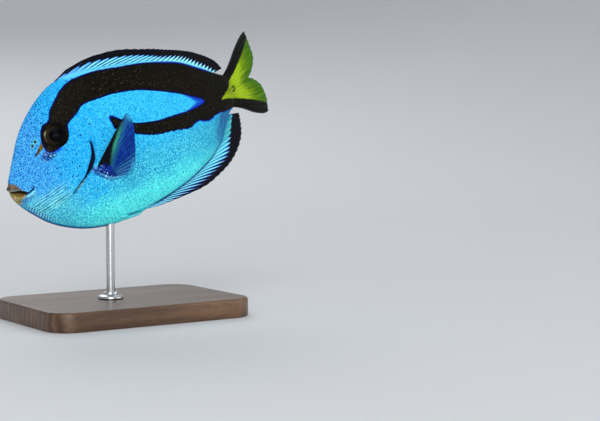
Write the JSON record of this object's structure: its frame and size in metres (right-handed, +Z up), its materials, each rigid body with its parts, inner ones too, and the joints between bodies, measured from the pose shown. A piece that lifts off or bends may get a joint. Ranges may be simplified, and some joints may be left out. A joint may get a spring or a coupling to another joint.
{
  "type": "regal blue tang model",
  "caption": "Life-size still model of a regal blue tang, nose down and turning as it swims, held by a slim rod on a flat display base.",
  "frame": {"origin": "bottom centre of the model's overall box, on the table that the base stands on", "axes": "+Z up, the fish heads towards -X with its nose down, its left side faces -Y"},
  "size_m": [0.155, 0.072, 0.1376],
  "materials": {
    "skin_blue": "satin painted skin, moist sheen",
    "fin_blue": "thin satin fin membrane",
    "tail_yellow": "thin satin fin membrane",
    "eye_dark": "polished, like a wet eye",
    "spine_pale": "satin",
    "walnut": "oiled dark wood",
    "steel": "satin brushed"
  },
  "bodies": {
    "root": {"head": "skin_blue", "lower_jaw": "skin_blue", "gill_cover_left": "skin_blue", "gill_cover_right": "skin_blue", "torso": "skin_blue", "tail_stem": "skin_blue", "eye_left": "eye_dark", "eye_right": "eye_dark", "dorsal_fin": "fin_blue", "anal_fin": "fin_blue", "pectoral_fin_left": "fin_blue", "pectoral_fin_right": "fin_blue", "pelvic_fin_left": "fin_blue", "pelvic_fin_right": "fin_blue", "caudal_fin": "tail_yellow", "tail_spine_left": "spine_pale", "tail_spine_right": "spine_pale", "stand_base": "walnut", "stand_rod": "steel", "stand_collar": "steel"}
  },
  "joints": []
}
